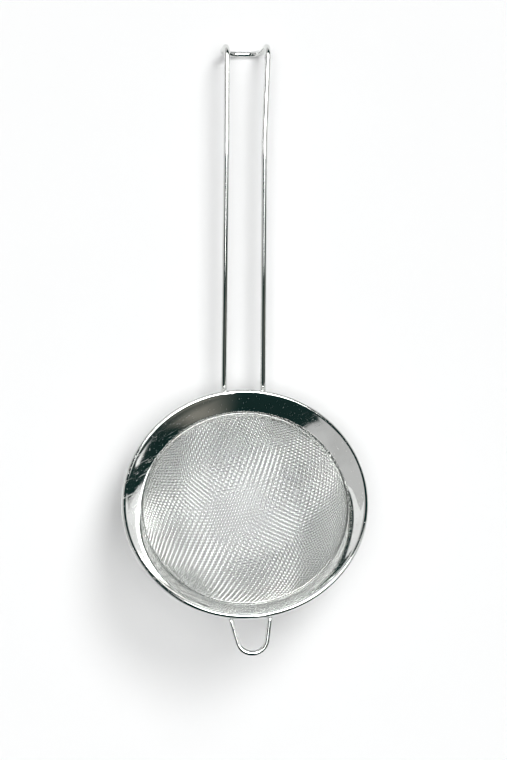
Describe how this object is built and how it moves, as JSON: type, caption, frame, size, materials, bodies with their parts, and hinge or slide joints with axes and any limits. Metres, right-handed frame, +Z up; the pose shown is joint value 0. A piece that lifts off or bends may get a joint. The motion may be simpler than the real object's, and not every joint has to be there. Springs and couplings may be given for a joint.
{
  "type": "tea strainer",
  "caption": "Round woven-wire tea strainer with a flared polished rim, a long bent-wire handle ending in a hook, and a small wire loop that rests on the edge of a cup.",
  "frame": {"origin": "on the table, under the middle of the strainer's bounding box, with the strainer lying at rest", "axes": "+Y along the handle towards the hook, +X to the right seen from above, +Z up from the table"},
  "size_m": [0.0798, 0.1986, 0.0498],
  "materials": {
    "polished_rim": "mirror-polished stainless steel with fine handling scratches",
    "clamp_ring": "bright rolled stainless steel",
    "wire_cloth": "bright drawn stainless wire, plain weave",
    "handle_wire": "bright drawn stainless wire with faint lengthwise drawing marks",
    "loop_wire": "bright drawn stainless wire with faint lengthwise drawing marks"
  },
  "bodies": {
    "root": {"rim_band": "polished_rim", "clamp_ring": "clamp_ring", "mesh_bowl": "wire_cloth", "handle_wire": "handle_wire", "rest_loop": "loop_wire"}
  },
  "joints": []
}
